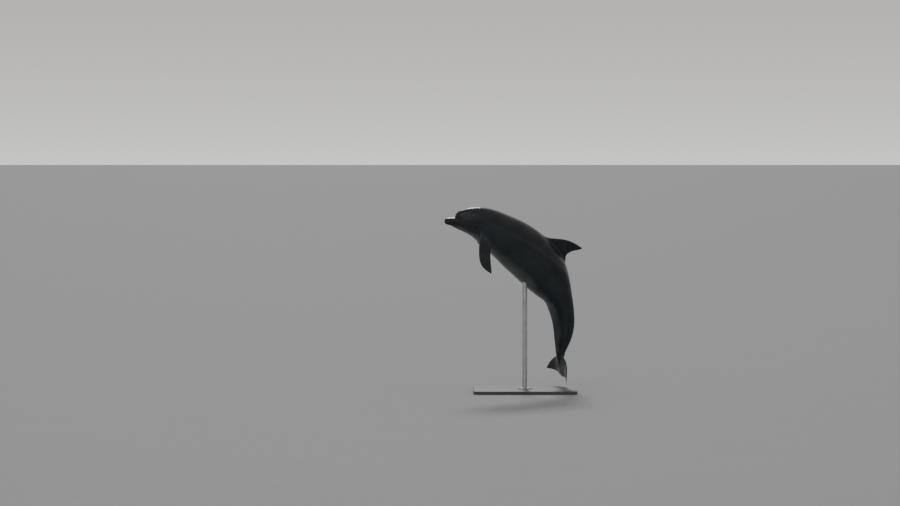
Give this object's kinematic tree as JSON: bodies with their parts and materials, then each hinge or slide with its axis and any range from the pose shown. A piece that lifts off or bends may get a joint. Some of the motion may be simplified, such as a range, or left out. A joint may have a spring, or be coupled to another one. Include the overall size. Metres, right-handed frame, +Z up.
{
  "type": "bottlenose dolphin model on a display stand",
  "caption": "Life-size bottlenose dolphin caught in a leap, body arched and rolled to its left, held over a flat base by a steel rod.",
  "frame": {"origin": "centre of the underside of the stand's base", "axes": "+Z up; the head points to -X, the animal's left side to -Y and its back to +X and +Z"},
  "size_m": [1.7466, 1.3376, 2.3396],
  "materials": {
    "skin": "wet, smooth grey skin, slate on the back and pale on the belly",
    "eye": "polished dark brown",
    "steel": "satin brushed",
    "base_paint": "charcoal satin paint"
  },
  "bodies": {
    "root": {"head": "skin", "lower_jaw": "skin", "neck": "skin", "chest": "skin", "trunk": "skin", "loin": "skin", "tail_front": "skin", "tail_stock": "skin", "dorsal_fin": "skin", "flipper_left": "skin", "flipper_right": "skin", "fluke_left": "skin", "fluke_right": "skin", "eye_left": "eye", "eye_right": "eye", "stand_base": "base_paint", "stand_rod": "steel", "stand_flange": "steel", "stand_bolt_1": "steel", "stand_bolt_2": "steel", "stand_bolt_3": "steel", "stand_bolt_4": "steel", "stand_bolt_5": "steel", "stand_bolt_6": "steel"}
  },
  "joints": []
}
